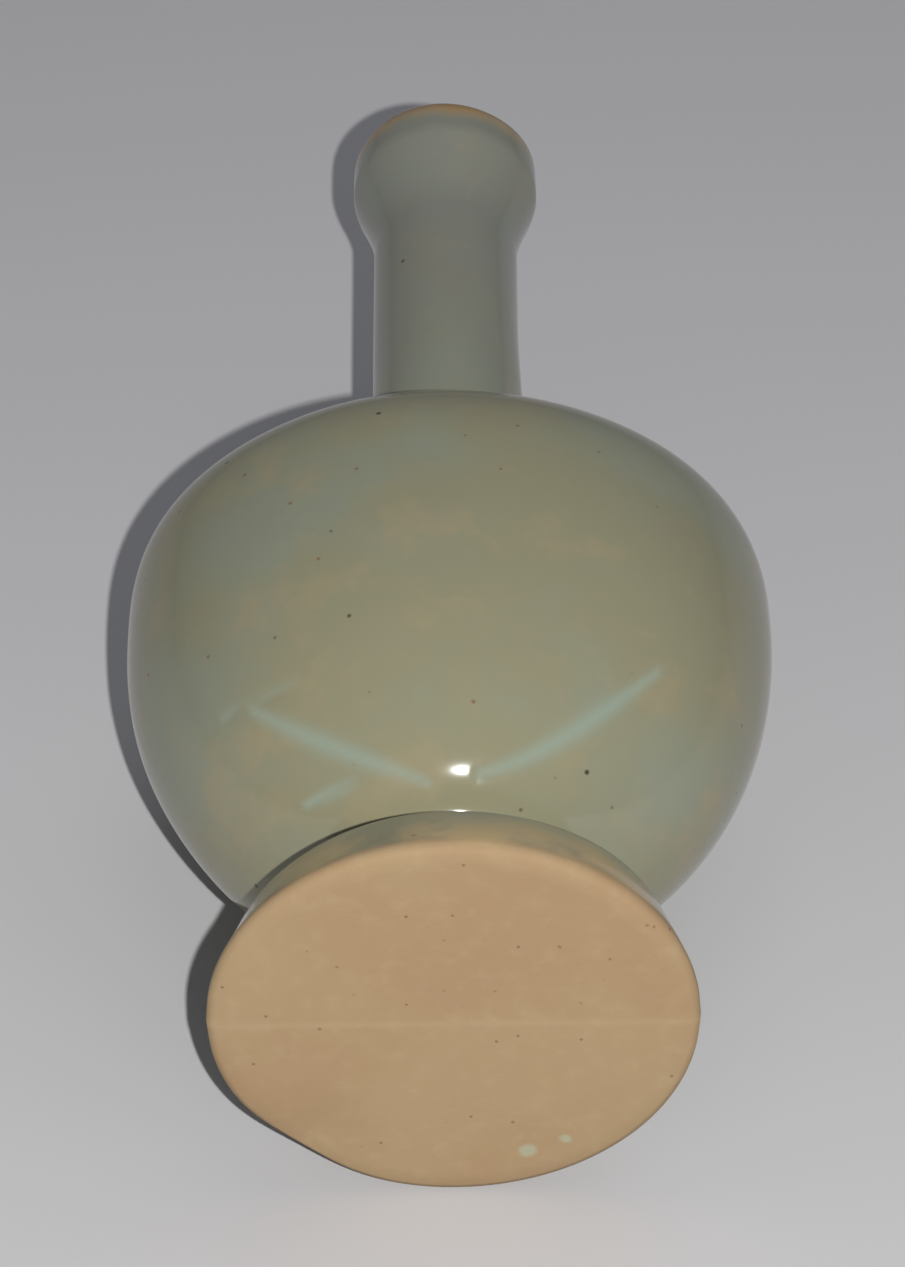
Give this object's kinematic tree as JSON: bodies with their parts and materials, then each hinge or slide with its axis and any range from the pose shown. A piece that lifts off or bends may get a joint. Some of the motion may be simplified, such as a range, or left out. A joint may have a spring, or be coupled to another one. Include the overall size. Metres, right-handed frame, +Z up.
{
  "type": "stoneware perfume bottle",
  "caption": "Small oval-bodied stoneware bottle with a spreading foot, slim neck, cupped mouth and incised leaf strokes on the front.",
  "frame": {"origin": "centre of the foot's flat underside", "axes": "+Z up along the bottle's axis to the mouth, -Y out of the decorated front, +X to the viewer's right seen from the front"},
  "size_m": [0.065, 0.0498, 0.1376],
  "materials": {
    "front_glaze": "glossy grey-green celadon glaze",
    "back_glaze": "glossy grey-green celadon glaze",
    "neck_glaze": "glossy grey celadon glaze"
  },
  "bodies": {
    "root": {"front_half": "front_glaze", "back_half": "back_glaze", "neck_and_mouth": "neck_glaze"}
  },
  "joints": []
}
